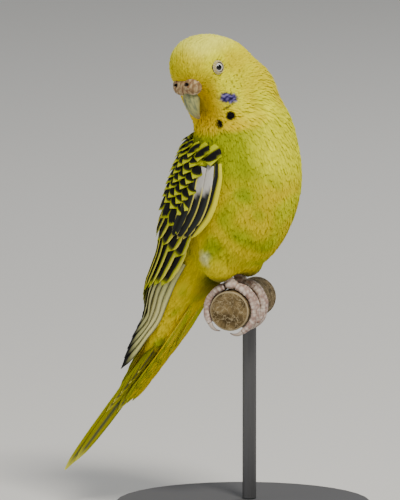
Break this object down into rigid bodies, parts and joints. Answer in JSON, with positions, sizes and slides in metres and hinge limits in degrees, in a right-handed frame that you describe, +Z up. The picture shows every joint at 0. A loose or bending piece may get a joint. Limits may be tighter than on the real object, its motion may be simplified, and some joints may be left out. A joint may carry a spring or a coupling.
{
  "type": "budgerigar",
  "caption": "Life-size green and yellow budgerigar, head turned to its right, gripping a short dowel perch with its long tail hanging, on a rod and round base.",
  "frame": {"origin": "centre of the stand base's flat underside", "axes": "+Z up; the perch's axis runs along Y with its sawn end facing -Y; the bird's breast faces +X and a little -Y"},
  "size_m": [0.1204, 0.096, 0.1828],
  "materials": {
    "head_feathers": "soft yellow feathers with fine darker rows",
    "body_feathers": "soft lime green to golden yellow feathers",
    "wing_feathers": "black feathers with yellow-green edges",
    "flight_feathers": "dark vanes with pale yellow edges",
    "tail_feathers": "yellow vanes with blue-green centres",
    "cere": "rough tan-brown bare skin",
    "bill": "olive-grey horn with paler streaks",
    "eye": "glossy black pupil and white iris",
    "foot_skin": "pinkish-grey scaly skin",
    "claw": "pale horn",
    "perch_wood": "weathered dowel with a sawn end",
    "stand_metal": "satin black paint",
    "stand_base": "satin black paint on turned wood"
  },
  "bodies": {
    "root": {"head": "head_feathers", "eye_right": "eye", "eye_left": "eye", "cere": "cere", "bill_upper": "bill", "bill_lower": "bill", "neck": "head_feathers", "torso": "body_feathers", "rump": "body_feathers", "tail": "tail_feathers", "thigh_right": "body_feathers", "tarsus_right": "foot_skin", "toe_right_1": "foot_skin", "claw_right_1": "claw", "toe_right_2": "foot_skin", "claw_right_2": "claw", "toe_right_3": "foot_skin", "claw_right_3": "claw", "toe_right_4": "foot_skin", "claw_right_4": "claw", "thigh_left": "body_feathers", "tarsus_left": "foot_skin", "toe_left_1": "foot_skin", "claw_left_1": "claw", "toe_left_2": "foot_skin", "claw_left_2": "claw", "toe_left_3": "foot_skin", "claw_left_3": "claw", "toe_left_4": "foot_skin", "claw_left_4": "claw", "wing_right": "wing_feathers", "wing_right_primaries": "flight_feathers", "wing_left": "wing_feathers", "wing_left_primaries": "flight_feathers", "perch": "perch_wood", "stand_rod": "stand_metal", "stand_base": "stand_base"}
  },
  "joints": []
}
